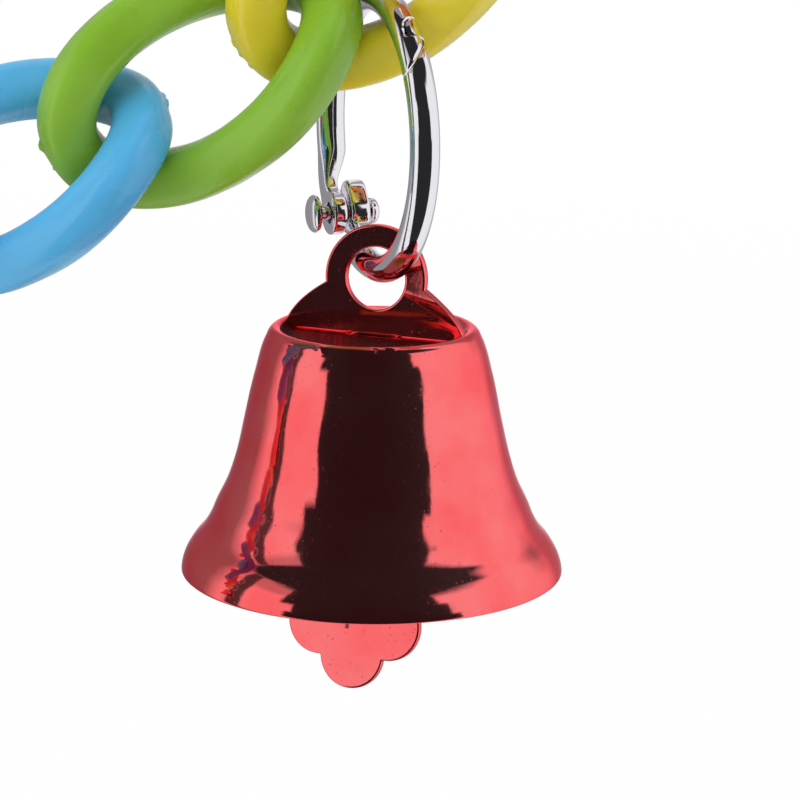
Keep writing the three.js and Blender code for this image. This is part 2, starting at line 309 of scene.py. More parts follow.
def plate(outline: Array, hole: Array, half: float, rounding: float, steps: int = 5) -> Array:
    """A flat plate in XZ with one hole and rounded edges.

    Straight rays join each point of the hole's edge to one of the outline. The section along a
    ray is a rectangle with quarter circles at its four corners.

    Args:
        outline: Outer edge as x and z, shape (n, 2).
        hole: Matching points of the hole's edge, shape (n, 2).
        half: Half the plate's thickness.
        rounding: Radius of the edges.
        steps: Points in each quarter circle.

    Returns:
        A grid that closes both ways, shape (n, 4 * steps + 4, 3).
    """
    span = outline - hole
    length = np.linalg.norm(span, axis=1, keepdims=True)
    out, up = rounded_edge(half, rounding, steps)
    inwards = out[::-1]
    reach = np.concatenate([length - out, length - inwards, 0 * length + out, 0 * length + inwards], 1)
    across = np.concatenate([up, -up[::-1], -up, up[::-1]])
    flat = hole[:, None] + unit(span)[:, None] * reach[..., None]
    return np.stack([flat[..., 0], np.broadcast_to(across, reach.shape), flat[..., 1]], -1)


def disc_plate(outline: Array, middle: Array, half: float, rounding: float, steps: int = 5) -> Array:
    """A flat plate in XZ without a hole: rays from its middle, front, round the edge and back.

    Args:
        outline: Outer edge as x and z, shape (n, 2).
        middle: The point that the rays leave from.
        half: Half the plate's thickness.
        rounding: Radius of the edge.
        steps: Points in each quarter circle.

    Returns:
        A grid for add_tube, shape (rows, n, 3).
    """
    span = outline - middle
    length = np.linalg.norm(span, axis=1)
    out, up = rounded_edge(half, rounding, steps)
    inner = np.array([0.02, 0.4, 0.75])[:, None] + 0 * length
    share = 1 - np.concatenate([out, out[::-1]])[:, None] / length
    share = np.concatenate([inner, share, inner[::-1]])
    height = np.concatenate([np.full(len(inner), half), up, -up[::-1], np.full(len(inner), -half)])
    flat = middle + share[..., None] * span
    return np.stack([flat[..., 0], np.broadcast_to(height[:, None], share.shape), flat[..., 1]], -1)


class NodeSheet:
    """A material's or the world's node tree, with short ways to add and join nodes."""

    def __init__(self, owner: bpy.types.Material | bpy.types.World) -> None:
        """Empties the owner's tree.

        Args:
            owner: The material or world.
        """
        owner.use_nodes = True
        self.tree = owner.node_tree
        self.tree.nodes.clear()

    def add(self, kind: str, settings: dict[str, object] | None = None,
            inputs: dict[str | int, object] | None = None) -> bpy.types.Node:
        """Adds a node.

        Args:
            kind: Its type's name.
            settings: Its own properties.
            inputs: Socket values by name or number; a socket given as a value is joined to it.

        Returns:
            The node.
        """
        node = self.tree.nodes.new(kind)
        for key, value in (settings or {}).items():
            setattr(node, key, value)
        for key, value in (inputs or {}).items():
            if isinstance(value, Socket):
                self.tree.links.new(value, node.inputs[key])
            else:
                node.inputs[key].default_value = value
        return node

    def math(self, operation: str, first: object, second: object = 0.0) -> Socket:
        """Adds a Math node and returns its result."""
        return self.add("ShaderNodeMath", {"operation": operation}, {0: first, 1: second}).outputs[0]

    def times(self, first: object, second: object) -> Socket:
        """Multiplies two values."""
        return self.math("MULTIPLY", first, second)

    def most(self, first: object, second: object) -> Socket:
        """Takes the larger of two values."""
        return self.math("MAXIMUM", first, second)

    def bump(self, height: Socket, strength: float, distance: float,
             over: Socket | None = None) -> Socket:
        """Adds a bump.

        Args:
            height: The relief.
            strength: Its share.
            distance: Its depth in metres.
            over: The bump that it lies on, if any.

        Returns:
            The normal.
        """
        inputs = {"Height": height, "Strength": strength, "Distance": distance}
        if over is not None:
            inputs["Normal"] = over
        return self.add("ShaderNodeBump", inputs=inputs).outputs[0]

    def noise(self, scale: float, detail: float, distortion: float = 0.0,
              squeeze: tuple[float, float, float] = (1.0, 1.0, 1.0)) -> Socket:
        """Adds a noise over the object's own coordinates.

        Args:
            scale: Its scale per metre.
            detail: Its octaves.
            distortion: How far it is stirred.
            squeeze: Factors on the coordinates; a small one draws the noise out into streaks.

        Returns:
            The noise's factor.
        """
        place = self.add("ShaderNodeTexCoord").outputs["Object"]
        place = self.add("ShaderNodeMapping", inputs={0: place, 3: squeeze}).outputs[0]
        sizes = {"Vector": place, "Scale": scale, "Detail": detail, "Distortion": distortion}
        return self.add("ShaderNodeTexNoise", inputs=sizes).outputs["Fac"]

    def spread(self, factor: Socket, low: float, high: float,
               from_low: float = 0.3, from_high: float = 0.7) -> Socket:
        """Maps a noise's useful range onto low to high."""
        ends = {0: factor, 1: from_low, 2: from_high, 3: low, 4: high}
        return self.add("ShaderNodeMapRange", inputs=ends).outputs[0]

    def tint(self, factor: Socket, first: tuple, second: tuple) -> Socket:
        """Mixes two colours by a factor."""
        mix = self.add("ShaderNodeMix", {"data_type": "RGBA"}, {0: factor, 6: first, 7: second})
        return mix.outputs[2]


@dataclass(frozen=True)
class MouldedPlastic:
    """Glossy injection-moulded plastic: slight flow marks in its colour, a soft sheen."""

    colour: LinkColour
    flow_scale: float = 110.0
    ripple_scale: float = 190.0
    grain_scale: float = 2600.0
    shade: float = 0.86
    roughness: tuple[float, float] = (0.2, 0.34)

    def material(self) -> bpy.types.Material:
        """Makes the material."""
        made = bpy.data.materials.new(f"{self.colour.name.lower()}_moulding")
        sheet = NodeSheet(made)
        full = linear(self.colour.value)
        deep = (*(v * self.shade for v in full[:3]), 1.0)
        flow = sheet.spread(sheet.noise(self.flow_scale, 4.0, 0.8), 0.0, 1.0)
        ripple = sheet.bump(sheet.noise(self.ripple_scale, 2.0), 0.22, 0.0006)
        shader = sheet.add("ShaderNodeBsdfPrincipled", inputs={
            "Base Color": sheet.tint(flow, deep, full),
            "Roughness": sheet.spread(flow, *self.roughness),
            "IOR": 1.5,
            "Subsurface Weight": 0.15,
            "Subsurface Radius": (0.003, 0.003, 0.003),
            "Subsurface Scale": 0.5,
            "Coat Weight": 0.15,
            "Coat Roughness": 0.08,
            "Normal": sheet.bump(sheet.noise(self.grain_scale, 3.0), 0.05, 0.0001, ripple),
        })
        sheet.add("ShaderNodeOutputMaterial", inputs={"Surface": shader.outputs[0]})
        return made


@dataclass(frozen=True)
class MirrorPlating:
    """Bright plating on pressed metal: soft ripples, polishing streaks, dust and a lacquer."""

    name: str
    colour: tuple[int, int, int]
    edge: tuple[int, int, int]
    roughness: tuple[float, float]
    ripple: float
    lacquer: float
    speck: float = 0.22
    scuffed: float = 0.07
    dulled: float = 0.8
    cloud_scale: float = 160.0
    streak_scale: float = 2200.0
    speck_scale: float = 3400.0
    wave_scale: float = 110.0
    pit_scale: float = 1500.0

    def material(self) -> bpy.types.Material:
        """Makes the material."""
        made = bpy.data.materials.new(self.name)
        sheet = NodeSheet(made)
        full = linear(self.colour)
        dull = (*(v * self.dulled for v in full[:3]), 1.0)
        pale = (*(v + (1 - v) * self.scuffed for v in full[:3]), 1.0)
        cloud = sheet.noise(self.cloud_scale, 5.0)
        streaks = sheet.noise(self.streak_scale, 3.0, 0.4, (1.0, 1.0, 0.04))
        mixed = sheet.times(sheet.spread(cloud, 0.0, 1.0, 0.35, 0.7),
                            sheet.spread(streaks, 0.2, 1.0, 0.4, 0.7))
        specks = sheet.spread(sheet.noise(self.speck_scale, 1.0), 0.0, 1.0, 0.69, 0.77)
        dust = sheet.times(specks, self.speck)
        haze = sheet.math("ADD", sheet.spread(mixed, *self.roughness, 0.0, 1.0), dust)
        wave = sheet.bump(sheet.noise(self.wave_scale, 1.0), self.ripple, 0.001)
        scuffs = sheet.tint(sheet.spread(cloud, 0.0, 1.0, 0.35, 0.65), full, pale)
        shader = sheet.add("ShaderNodeBsdfPrincipled", inputs={
            "Base Color": sheet.tint(sheet.times(specks, 0.6), scuffs, dull),
            "Metallic": 1.0,
            "Roughness": haze,
            "Specular Tint": linear(self.edge),
            "Coat Weight": self.lacquer,
            "Coat Roughness": 0.6,
            "Normal": sheet.bump(sheet.noise(self.pit_scale, 2.0), 0.035, 0.0001, wave),
        })
        sheet.add("ShaderNodeOutputMaterial", inputs={"Surface": shader.outputs[0]})
        return made


@dataclass(frozen=True)
class ChainPlan:
    """Where each twelfth of the hanging bridge lies. Slopes rise with the distance from its middle."""

    half_length: float = 14.2
    half_width: float = 8.0
    bar_radius: float = 2.68
    squareness: float = 2.33
    end_twist: float = math.radians(-42)
    play: float = 1.85
    lean: float = math.radians(-20)
    lean_ease: float = math.radians(6)
    eased_from: int = 2
    each_side: int = 6
    rise_step: float = 0.174
    end_gap: float = 0.4

    @property
    def pitch(self) -> float:
        """From one link's middle to the next, along the chain."""
        return 2 * (self.half_length - self.bar_radius) - self.play

    def slope(self, count: int) -> float:
        """The slope of the link that is count links out from the first of its side."""
        return math.atan(self.rise_step * (count + 0.5))

    def along(self, count: int) -> Array:
        """The link's long direction on the right-hand side, as x and z."""
        return np.array([math.cos(self.slope(count)), math.sin(self.slope(count))])

    def middle(self, count: int) -> Array:
        """The link's middle over the chain's lowest point, as x and z."""
        before = sum((self.pitch * self.along(i) for i in range(count)), np.zeros(2))
        return before + self.along(count) * self.pitch / 2

    def end_ring_bottom(self, wire_radius: float) -> Array:
        """Middle of the end ring's lowest wire over the chain's lowest point, as x and z."""
        last = self.each_side - 1
        reach = self.half_length - self.bar_radius - wire_radius - self.end_gap
        return self.middle(last) + self.along(last) * reach

    def place(self, side: Side, count: int, drop: float) -> Array:
        """A link's own frame: its length, its width and the direction across both.

        Args:
            side: The end of the bridge.
            count: How many links out from the middle.
            drop: How far the chain's lowest point lies under the origin.

        Returns:
            The 4 by 4 place.
        """
        eased = max(count - self.eased_from, 0) if side is Side.RIGHT else 0
        lean = self.lean + self.lean_ease * eased
        x, z = self.along(count) * (1, side.value)
        long_way = np.array([x, 0, z])
        upright = np.array([-z, 0, x])
        front = np.cross(long_way, upright)
        wide_way = upright * math.cos(lean) + front * math.sin(lean)
        middle = self.middle(count)
        place = np.eye(4)
        place[:3, :3] = np.stack([long_way, wide_way, np.cross(long_way, wide_way)], 1)
        place[:3, 3] = (side.value * middle[0], 0, middle[1] - drop)
        return place


@dataclass(frozen=True)
class LinkMoulding:
    """One twisted link: a squarish oval of softly squared bar with a mould seam and flash."""

    plan: ChainPlan
    bar_half: float = 2.61
    bar_exponent: float = 2.75
    arm_depth: float = 0.2
    end_depth: float = 0.3
    last_end_depth: float = 0.1
    last_end_slim: float = 0.13
    end_from: float = 0.55
    slim_from: float = 0.6
    seam_height: float = 0.05
    seam_width: float = 0.11
    flash_height: float = 0.3
    flash_count: int = 5
    flash_spread: float = 0.035
    flash_length: float = 0.004
    waver: float = 0.006
    fine_steps: int = 6001
    steps: int = 216
    columns: int = 44

    def line(self) -> tuple[Array, Array, Array]:
        """The bar's middle line, evenly spaced, with its outward and flat directions.

        The line is x = a cos^(2/n), width = b sin^(2/n), with the width's direction turned about
        X in proportion to x. The flat direction is square to the twisted sheet that the oval
        is drawn on, and the outward one lies in that sheet, square to the line.

        Returns:
            Points, outward directions and flat directions, each of shape (steps, 3).
        """
        plan = self.plan
        turn = np.linspace(0, 2 * np.pi, self.fine_steps)
        x = plan.half_length * squared(np.cos(turn), plan.squareness)
        width = plan.half_width * squared(np.sin(turn), plan.squareness)
        rate = plan.end_twist / plan.half_length
        fine = np.stack([x, width * np.cos(rate * x), width * np.sin(rate * x)], 1)
        run = np.concatenate([[0], np.cumsum(np.linalg.norm(np.diff(fine, axis=0), axis=1))])
        even = np.linspace(0, run[-1], self.steps, endpoint=False)
        points = np.stack([np.interp(even, run, fine[:, i]) for i in range(3)], 1)
        w = np.interp(even, run, width)
        twist = rate * points[:, 0]
        along_x = np.stack([0 * w + 1, -w * rate * np.sin(twist), w * rate * np.cos(twist)], 1)
        across = np.stack([0 * w, np.cos(twist), np.sin(twist)], 1)
        ahead = np.roll(points, -1, axis=0) - np.roll(points, 1, axis=0)
        outward = unit(np.cross(ahead, unit(np.cross(along_x, across))))
        return points, outward * np.sign(outward[0, 0]), unit(np.cross(outward, ahead))

    def depth(self, x: Array, last_end: int) -> Array:
        """How much deeper the bar is on its inner side: most at the two ends.

        Args:
            x: Place along the link.
            last_end: 1 or -1 where that end hooks over an end ring, otherwise 0.

        Returns:
            The extra depth.
        """
        length = self.plan.half_length
        at_end = smooth_step(np.abs(x), self.end_from * length, length)
        most = np.where(x * last_end > 0, self.last_end_depth, self.end_depth)
        return self.arm_depth + (most - self.arm_depth) * at_end

    def skin(self, seed: int, last_end: int) -> Skin:
        """The link's surface.

        The section is a superellipse, deeper on the link's inner side. A narrow ridge stands on
        its outer and inner side, where the mould halves meet, and near both ends the outer ridge
        grows ragged flash, which is trimmed off where the link hooks over an end ring.

        Args:
            seed: Sets the flash, so that no two links are alike.
            last_end: 1 or -1 where that end hooks over an end ring, otherwise 0.

        Returns:
            The closed skin.
        """
        points, outward, flat = self.line()
        chance = np.random.default_rng(seed)
        near = np.array([-0.2, -0.1, -0.05, 0, 0.05, 0.1, 0.2])
        even = full_turn(self.columns)
        apart = np.abs((even + np.pi / 2) % np.pi - np.pi / 2) > 0.25
        angle = np.sort(np.concatenate([even[apart], near % (2 * np.pi), near + np.pi]))
        wide = self.bar_half * squared(np.cos(angle), self.bar_exponent)
        thick = self.bar_half * squared(np.sin(angle), self.bar_exponent)
        ridge = np.exp(-((thick / self.seam_width) ** 2))
        share = np.arange(self.steps) / self.steps
        flash = np.zeros(self.steps)
        for end in (0.0, 0.5):
            for _ in range(self.flash_count):
                spot = end + chance.uniform(-self.flash_spread, self.flash_spread)
                away = (share - spot + 0.5) % 1 - 0.5
                flash += chance.uniform(0.2, 1) * np.exp(-((away / self.flash_length) ** 2))
        flash = self.flash_height * np.minimum(flash, 1) * (points[:, 0] * last_end <= 0)
        outer = ridge * (np.cos(angle) > 0)
        extra = self.seam_height * ridge * np.sign(np.cos(angle)) + flash[:, None] * outer
        waver = 1 + self.waver * np.sin(2 * np.pi * share * 5 + seed)[:, None]
        inside = np.cos(angle) < 0
        deeper = 1 + inside * (self.depth(points[:, 0], last_end) / self.bar_half)[:, None]
        length = self.plan.half_length
        at_last = smooth_step(points[:, 0] * last_end, self.slim_from * length, length)
        slim = waver * (1 - self.last_end_slim * at_last[:, None])
        across = wide * slim * deeper + extra
        grid = points[:, None] + outward[:, None] * across[..., None]
        return Skin().add_loop(grid + flat[:, None] * (thick * slim)[..., None])


@dataclass(frozen=True)
class HingedRing:
    """A wire ring in two halves: a riveted hinge of flattened eyes and a hooked, lapped snap."""

    radius: float = 13.0
    wire: float = 1.45
    plated_wire: float = 1.41
    hinge: float = math.radians(180)
    lap: float = 3.0
    lap_gap: float = 0.16
    lap_bevel: tuple[float, float] = (0.14, 0.22)
    eye_radius: float = 2.2
    eye_hole: float = 1.0
    eye_tip: float = 1.0
    eye_tip_turn: float = math.radians(126)
    eye_tip_sharpness: float = 6.0
    upper_tab: tuple[float, float] = (-1.6, -0.2)
    lower_tab: tuple[float, float] = (0.2, 2.2)
    rivet_shank: float = 0.7
    rivet_head: float = 1.9
    rivet_tail: float = 1.3
    rivet_head_height: float = 0.95
    rivet_half: float = 3.7
    rivet_dome: float = 0.75
    rivet_chamfer: float = 0.12
    flattened_from: float = 7.2
    flattened_at: float = 2.4
    narrowed: float = 0.25
    flat_exponent: float = 2.2
    wire_into_eye: float = 1.5
    narrowed_from: float = 2.6
    eye_exponent: float = 5.0
    columns: int = 88
    snap_rows: int = 150
    arm_rows: int = 220
    eye_points: int = 96
    eye_section_points: int = 32
    rivet_points: int = 48

    def place(self, centre: Array, facing: float, turn: float, flipped: bool) -> Array:
        """The ring's own frame, in which its snap lies at angle 0.

        Args:
            centre: The ring's middle.
            facing: Where the ring's +X points, in degrees about Z.
            turn: The snap's angle in the ring's plane, in degrees.
            flipped: Whether the ring is turned over about its +X first.
        """
        over = np.diag([1.0, -1.0, -1.0, 1.0]) if flipped else np.eye(4)
        return shift(*centre) @ turned(facing, X, Y) @ turned(turn, X, Z) @ over

    def lap_line(self, run: Array) -> Array:
        """Where the cut between the lapped halves lies across the wire, from -1 to 1.

        Straight steps join the knots: a slant that climbs almost across the wire, a sharp step
        back under the hook's round head, the head's side, and its rounded top.

        Args:
            run: Distance along the wire from the snap's middle.

        Returns:
            The cut's place across the wire, as a part of its radius.
        """
        knots = np.array([
            [-3.0, -1.0], [-2.25, -0.45], [-1.12, 0.24], [-0.45, 0.55], [0.05, 0.68], [0.3, 0.66],
            [0.42, -0.3], [0.7, -0.4], [1.5, -0.36], [2.1, -0.2], [2.45, 0.1], [2.6, 0.45],
            [2.7, 1.0],
        ])
        return np.interp(run, knots[:, 0], knots[:, 1])

    def clipped(self, run: Array, sideways: Array, radial: Array, keep: int) -> tuple[Array, Array]:
        """Cuts the wire's sections along the lap line.

        A section's points past the cut move onto its chord, and beside it the edge is eased by a
        bell curve.

        Args:
            run: Distance along the wire from the snap's middle, shape (rows,).
            sideways: Section coordinates along the ring's axis, shape (rows, columns).
            radial: Section coordinates along its radius, shape (rows, columns).
            keep: -1 keeps the side below the cut, 1 the side above it.

        Returns:
            The cut sideways and radial coordinates.
        """
        wire = self.plated_wire
        cut = wire * self.lap_line(run) + keep * self.lap_gap / 2
        cut = np.clip(cut, -wire, wire)
        cut = np.where(np.abs(run) <= self.lap, cut, -keep * 1e3)[:, None]
        deep, wide = self.lap_bevel
        radial = radial * (1 - deep * np.exp(-(((sideways - cut) / wide) ** 2)))
        chord = np.sqrt(np.maximum(wire**2 - cut**2, 0)) * (1 - deep)
        past = (sideways - cut) * keep < 0
        return (np.where(past, cut, sideways),
                np.where(past, np.clip(radial, -chord, chord), radial))

    def half_wire(self, start: float, end: float, tab: tuple[float, float], keep: int) -> Array:
        """One half's wire, from its snap to its hinge eye or the other way.

        It is a circle of wire round the ring. Near the hinge the section moves sideways to the
        tab's middle and flattens to the tab's thickness.

        Args:
            start: First angle.
            end: Last angle.
            tab: The eye's two faces along the ring's axis.
            keep: Which side of the lap this half keeps, as in clipped.

        Returns:
            The grid for add_tube.
        """
        snap = -keep * 2 * self.lap / self.radius
        close = np.linspace(0, snap, self.snap_rows, endpoint=False)
        if keep < 0:
            angle = np.concatenate([start + close, np.linspace(start + snap, end, self.arm_rows)])
            run = (angle - start) * self.radius - self.lap
        else:
            angle = np.concatenate([np.linspace(start, end + snap, self.arm_rows), (end + close)[::-1]])
            run = (angle - end) * self.radius + self.lap
        from_hinge = np.abs(angle - self.hinge) * self.radius
        flat = 1 - smooth_step(from_hinge, self.flattened_at, self.flattened_from)
        wire = self.plated_wire
        half = wire + ((tab[1] - tab[0]) / 2 - wire) * flat
        width = wire - self.narrowed * flat * smooth_step(from_hinge, self.wire_into_eye, self.narrowed_from)
        turn = full_turn(self.columns)
        exponent = 2 + self.flat_exponent * flat[:, None]
        sideways = half[:, None] * squared(np.cos(turn), exponent)
        radial = width[:, None] * squared(np.sin(turn), exponent)
        sideways, radial = self.clipped(run, sideways, radial, keep)
        sideways = sideways + (sum(tab) / 2 * flat)[:, None]
        reach = self.radius + radial
        return np.stack([reach * np.cos(angle)[:, None], sideways, reach * np.sin(angle)[:, None]], -1)

    def hinge_middle(self) -> tuple[float, float]:
        """The rivet's place in the ring's plane."""
        return self.radius * math.cos(self.hinge), self.radius * math.sin(self.hinge)

    def eye(self, tab: tuple[float, float], tip: float) -> Array:
        """The hinge eye: a washer with rounded edges and, for the lower half, a pointed end.

        Args:
            tab: Its two faces along the ring's axis.
            tip: How far its free end is drawn out to a point.

        Returns:
            The grid for add_loop.
        """
        angle, turn = full_turn(self.eye_points), full_turn(self.eye_section_points)
        towards_tip = np.cos(angle - (self.hinge - self.eye_tip_turn))
        rim = self.eye_radius + tip * np.maximum(towards_tip, 0) ** self.eye_tip_sharpness
        middle, half = (rim + self.eye_hole) / 2, (rim - self.eye_hole) / 2
        reach = middle[:, None] + half[:, None] * squared(np.cos(turn), self.eye_exponent)
        height = sum(tab) / 2 + (tab[1] - tab[0]) / 2 * squared(np.sin(turn), self.eye_exponent)
        flat = self.hinge_middle() + reach[..., None] * polar(angle)[:, None]
        return np.stack([flat[..., 0], np.broadcast_to(height, reach.shape), flat[..., 1]], -1)

    def upper_half(self) -> Skin:
        """The wire whose end is a flat tab at the hinge."""
        stop = self.hinge - self.wire_into_eye / self.radius
        wire = self.half_wire(-self.lap / self.radius, stop, self.upper_tab, -1)
        return Skin().add_tube(wire).add_loop(self.eye(self.upper_tab, 0.0))

    def lower_half(self) -> Skin:
        """The wire with a pointed eye at the hinge and a hook at the snap."""
        start = self.hinge + self.wire_into_eye / self.radius
        wire = self.half_wire(start, 2 * math.pi + self.lap / self.radius, self.lower_tab, 1)
        return Skin().add_tube(wire).add_loop(self.eye(self.lower_tab, self.eye_tip))

    def rivet(self) -> Skin:
        """The hinge rivet, turned about the ring's axis: a wide domed head and a small peened end."""
        arc = np.linspace(0.06, np.pi / 2, 12)
        flat = self.rivet_half - self.rivet_head_height
        crown = self.rivet_head_height * self.rivet_dome
        ends = []
        for rim in (self.rivet_tail, self.rivet_head):
            dome = np.stack([rim * np.sin(arc) ** 0.8, self.rivet_half - crown + crown * np.cos(arc)], 1)
            chamfer, shank = self.rivet_chamfer, self.rivet_shank
            under = np.array([[rim, flat + chamfer], [rim - chamfer, flat],
                              [shank + 0.1, flat], [shank, flat - 0.1]])
            ends.append(np.concatenate([dome, under]))
        outline = np.concatenate([ends[0], ends[1][::-1] * (1, -1)])
        turn = full_turn(self.rivet_points)
        middle = self.hinge_middle()
        x = middle[0] + outline[:, :1] * np.cos(turn)
        z = middle[1] + outline[:, :1] * np.sin(turn)
        return Skin().add_tube(np.stack([x, outline[:, 1:] + 0 * x, z], -1))


@dataclass(frozen=True)
class Bell:
    """The pressed bell, its stamped hanger and its trefoil clapper. Heights are over the lip."""

    height: float = 24.5
    wall: float = 0.6
    crown_dip: float = 0.8
    slot_half: tuple[float, float] = (2.95, 0.95)
    hanger_half: float = 0.55
    foot_half: float = 9.35
    foot_sink: float = 1.0
    eye_radius: float = 5.28
    aslant: tuple[float, float] = (0.1, 0.035)
    eye_hole: float = 3.1
    eye_height: float = 4.5
    crown_gap: float = 0.3
    tongue_half: float = 2.6
    tongue_depth: float = 7.4
    tongue_hole: float = 1.9
    tongue_bar: float = 1.4
    clapper_half: float = 0.4
    curl_radius: float = 1.5
    curl_half_width: float = 0.75
    stem_half: float = 1.6
    lobe_radius: float = 3.35
    lobe_spread: float = 3.7
    side_lobe_drop: float = 4.8
    low_lobe_drop: float = 7.85
    clapper_forward: float = 14.0
    clapper_lean: float = -1.5
    clapper_warp: float = 0.055
    beads: tuple[float, ...] = (-96.7, -68.6)
    waves: tuple[tuple[float, ...], ...] = (
        (0.02, 3, 0.7, 0), (0.012, 7, 0, 0.5), (0.006, 17, 0, -0.9))
    bead_radius: float = 10.2
    bead_drop: float = 0.35
    bead_height: float = 0.22
    bead_reach: float = 0.42
    corner: float = 0.45
    eye_notch: float = math.radians(-8)
    side_swell: tuple[float, float] = (8.5, 1.7)
    plating_play: float = 0.06
    edge_rounding: float = 0.2
    bend: float = 0.03
    bend_from: float = 2.4
    strip_half: float = 0.376
    strip_exponent: float = 5.0
    strip_columns: int = 32
    curl_turn: float = math.radians(300)
    crown_rows: int = 10
    sides: int = 216

    @property
    def curl_height(self) -> float:
        """The middle of the tongue's lower bar, which the clapper's curl turns round."""
        return self.height + self.crown_gap - self.tongue_depth + self.tongue_bar / 2

    def clapper_stance(self) -> Array:
        """The clapper's turn about its curl at rest."""
        curl = shift(0, 0, self.curl_height)
        turn = turned(self.clapper_forward, Z, Y) @ turned(-self.clapper_lean, X, Z)
        return curl @ turn @ np.linalg.inv(curl)

    def wall_line(self) -> Array:
        """The outer wall from the crown's edge to the lip, as radius and height.

        A cubic runs through the knots, with each knot's slope the mean of its neighbours'.

        Returns:
            Points, shape (n, 2).
        """
        knots = np.array([
            [7.8, self.height - self.crown_dip], [8.4, self.height - 0.74], [8.9, self.height - 0.42],
            [9.25, self.height - 0.12], [9.65, self.height], [10.15, self.height - 0.27],
            [10.55, self.height - 1.0], [11.65, 19.9], [12.7, 15.1],
            [13.4, 12.0], [14.36, 9.0], [15.45, 6.7], [15.95, 5.5], [16.6, 4.35], [17.7, 3.0],
            [18.5, 1.6], [18.78, 0.7], [18.85, 0.25],
        ])
        step = np.linalg.norm(np.diff(knots, axis=0), axis=1)
        run = np.concatenate([[0], np.cumsum(step)])
        slope = np.gradient(knots, run, axis=0)
        fine = np.linspace(0, run[-1], 150)
        at = np.clip(np.searchsorted(run, fine, side="right") - 1, 0, len(step) - 1)
        t = ((fine - run[at]) / step[at])[:, None]
        reach = step[at][:, None]
        start, end = knots[at], knots[at + 1]
        return (start * (2 * t**3 - 3 * t**2 + 1) + slope[at] * reach * (t**3 - 2 * t**2 + t)
                + end * (3 * t**2 - 2 * t**3) + slope[at + 1] * reach * (t**3 - t**2))

    def shell(self) -> Skin:
        """The shell: the wall's line turned about Z, inside and out, with the crown's slot.

        Small waves of the radius stand for the pressing, each size * sin(count * angle + phase +
        drift * height), and round swellings on the shoulder for beads of plating.

        Returns:
            The closed skin.
        """
        outer = self.wall_line()
        ahead = unit(np.gradient(outer, axis=0))
        inner = outer + np.stack([ahead[:, 1], -ahead[:, 0]], 1) * self.wall
        lip_turn = np.linspace(0, np.pi, 9)[1:-1, None]
        middle, half = (outer[-1] + inner[-1]) / 2, (outer[-1] - inner[-1]) / 2
        lip = middle + half * np.cos(lip_turn) + ahead[-1] * self.wall / 2 * np.sin(lip_turn)
        line = np.concatenate([outer, lip, inner[::-1]])
        turn = full_turn(self.sides)
        a, b = self.slot_half
        slot = (np.abs(np.cos(turn) / a) ** 4 + np.abs(np.sin(turn) / b) ** 4) ** -0.25
        out = np.linspace(0, 1, self.crown_rows, endpoint=False)[:, None]
        crown = slot + (outer[0, 0] - slot) * out
        under = slot + (inner[0, 0] - slot) * out[::-1]
        waves = sum(size * np.sin(count * turn + phase + drift * line[:, 1:])
                    for size, count, phase, drift in self.waves)
        wall = line[:, :1] + waves * smooth_step(line[:, :1], 9.0, 12.0)
        radius = np.concatenate([crown, wall, under])
        top, below = (np.full(self.crown_rows, side[0, 1]) for side in (outer, inner))
        height = np.concatenate([top, line[:, 1], below])
        height = height[:, None] + 0 * radius
        for bead in self.beads:
            aside = np.radians((np.degrees(turn) - bead + 180) % 360 - 180) * radius
            below = np.hypot(radius - self.bead_radius, height - self.height + self.bead_drop)
            swell = self.bead_height * np.exp(-(aside**2 + below**2) / self.bead_reach**2)
            radius, height = radius + swell, height + swell * 0.6
        x, y = radius * np.cos(turn), radius * np.sin(turn)
        return Skin().add_loop(np.stack([x, y, height], -1))

    def hanger_edge(self) -> Array:
        """The hanger's outline, anticlockwise from the middle of its foot, heights over the crown.

        Foot, rounded corner, swelling side, round eye, and the same back on the other side.

        Returns:
            Points as x and height, shape (n, 2).
        """
        low = [self.foot_half - self.corner, self.corner - self.foot_sink]
        along = np.linspace(0, low[0], 24, endpoint=False)
        foot = np.stack([along, 0 * along - self.foot_sink], 1)
        round_corner = low + self.corner * polar(np.linspace(-np.pi / 2, 0.15, 7, endpoint=False))
        arc = np.linspace(self.eye_notch, np.pi / 2, 40)
        eye = [0, self.eye_height] + self.eye_radius * polar(arc)
        t = np.linspace(0, 1, 26, endpoint=False)[:, None]
        base = np.array([self.foot_half, low[1] + 0.07])
        side = base * (1 - t) ** 2 + np.array(self.side_swell) * 2 * t * (1 - t) + eye[0] * t**2
        right = np.concatenate([foot, round_corner, side, eye])
        return np.concatenate([right, right[-2:0:-1] * (-1, 1)])

    def hanger(self) -> Skin:
        """The stamped hanger on the crown, with its tongue through the slot. Both hold a hole."""
        crown = np.array([0, self.height + self.crown_gap])
        eye = np.array([0, self.eye_height])
        edge = self.hanger_edge()
        inner = eye + unit(edge - eye) * self.eye_hole
        half = self.hanger_half - self.plating_play
        stamped = plate(edge + crown, inner + crown, half, self.edge_rounding)
        rise = stamped[..., 2] - crown[1]
        bend = self.bend * np.maximum(stamped[..., 0] - self.bend_from, 0) ** 1.5
        stamped[..., 1] -= bend * smooth_step(rise, 0.2, 3.2)
        stamped[..., 0] += self.aslant[0] + self.aslant[1] * rise
        hole = np.array([0, self.tongue_bar + self.tongue_hole - self.tongue_depth])
        low, high = -self.tongue_depth - hole[1], 0.1 - self.foot_sink - hole[1]
        rays = polar(full_turn(120))
        c, s = rays.T
        tall = np.where(s > 0, high, -low)
        reach = (np.abs(c / self.tongue_half) ** 7 + np.abs(s / tall) ** 7) ** (-1 / 7)
        middle = hole + crown
        tongue = plate(rays * reach[:, None] + middle, rays * self.tongue_hole + middle,
                       self.hanger_half, 0.15)
        return Skin().add_loop(stamped).add_loop(tongue)

